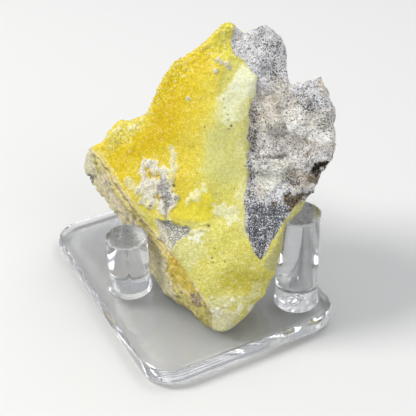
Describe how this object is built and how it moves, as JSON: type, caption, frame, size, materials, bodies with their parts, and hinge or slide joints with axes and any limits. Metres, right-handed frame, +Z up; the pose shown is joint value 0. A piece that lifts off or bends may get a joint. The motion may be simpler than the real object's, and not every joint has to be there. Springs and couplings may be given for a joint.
{
  "type": "brucite mineral specimen on a display stand",
  "caption": "Yellow sugary brucite crust over grey granular host rock, a wedge-shaped hand specimen propped on a clear acrylic plate with a short front peg and tall back pegs.",
  "frame": {"origin": "centre of the acrylic plate's underside", "axes": "+X along the plate's long side, +Z up; the short peg is at -Y and the tall pegs at +Y"},
  "size_m": [0.0834, 0.0701, 0.0843],
  "materials": {
    "acrylic": "clear polished acrylic with saw-cut peg tops",
    "brucite": "sugary translucent yellow druse with pale broken faces",
    "host_rock": "matte granular salt-and-pepper rock"
  },
  "bodies": {
    "root": {"base_plate": "acrylic", "front_peg": "acrylic", "back_peg_right": "acrylic", "back_peg_left": "acrylic", "brucite": "brucite", "host_rock": "host_rock"}
  },
  "joints": []
}
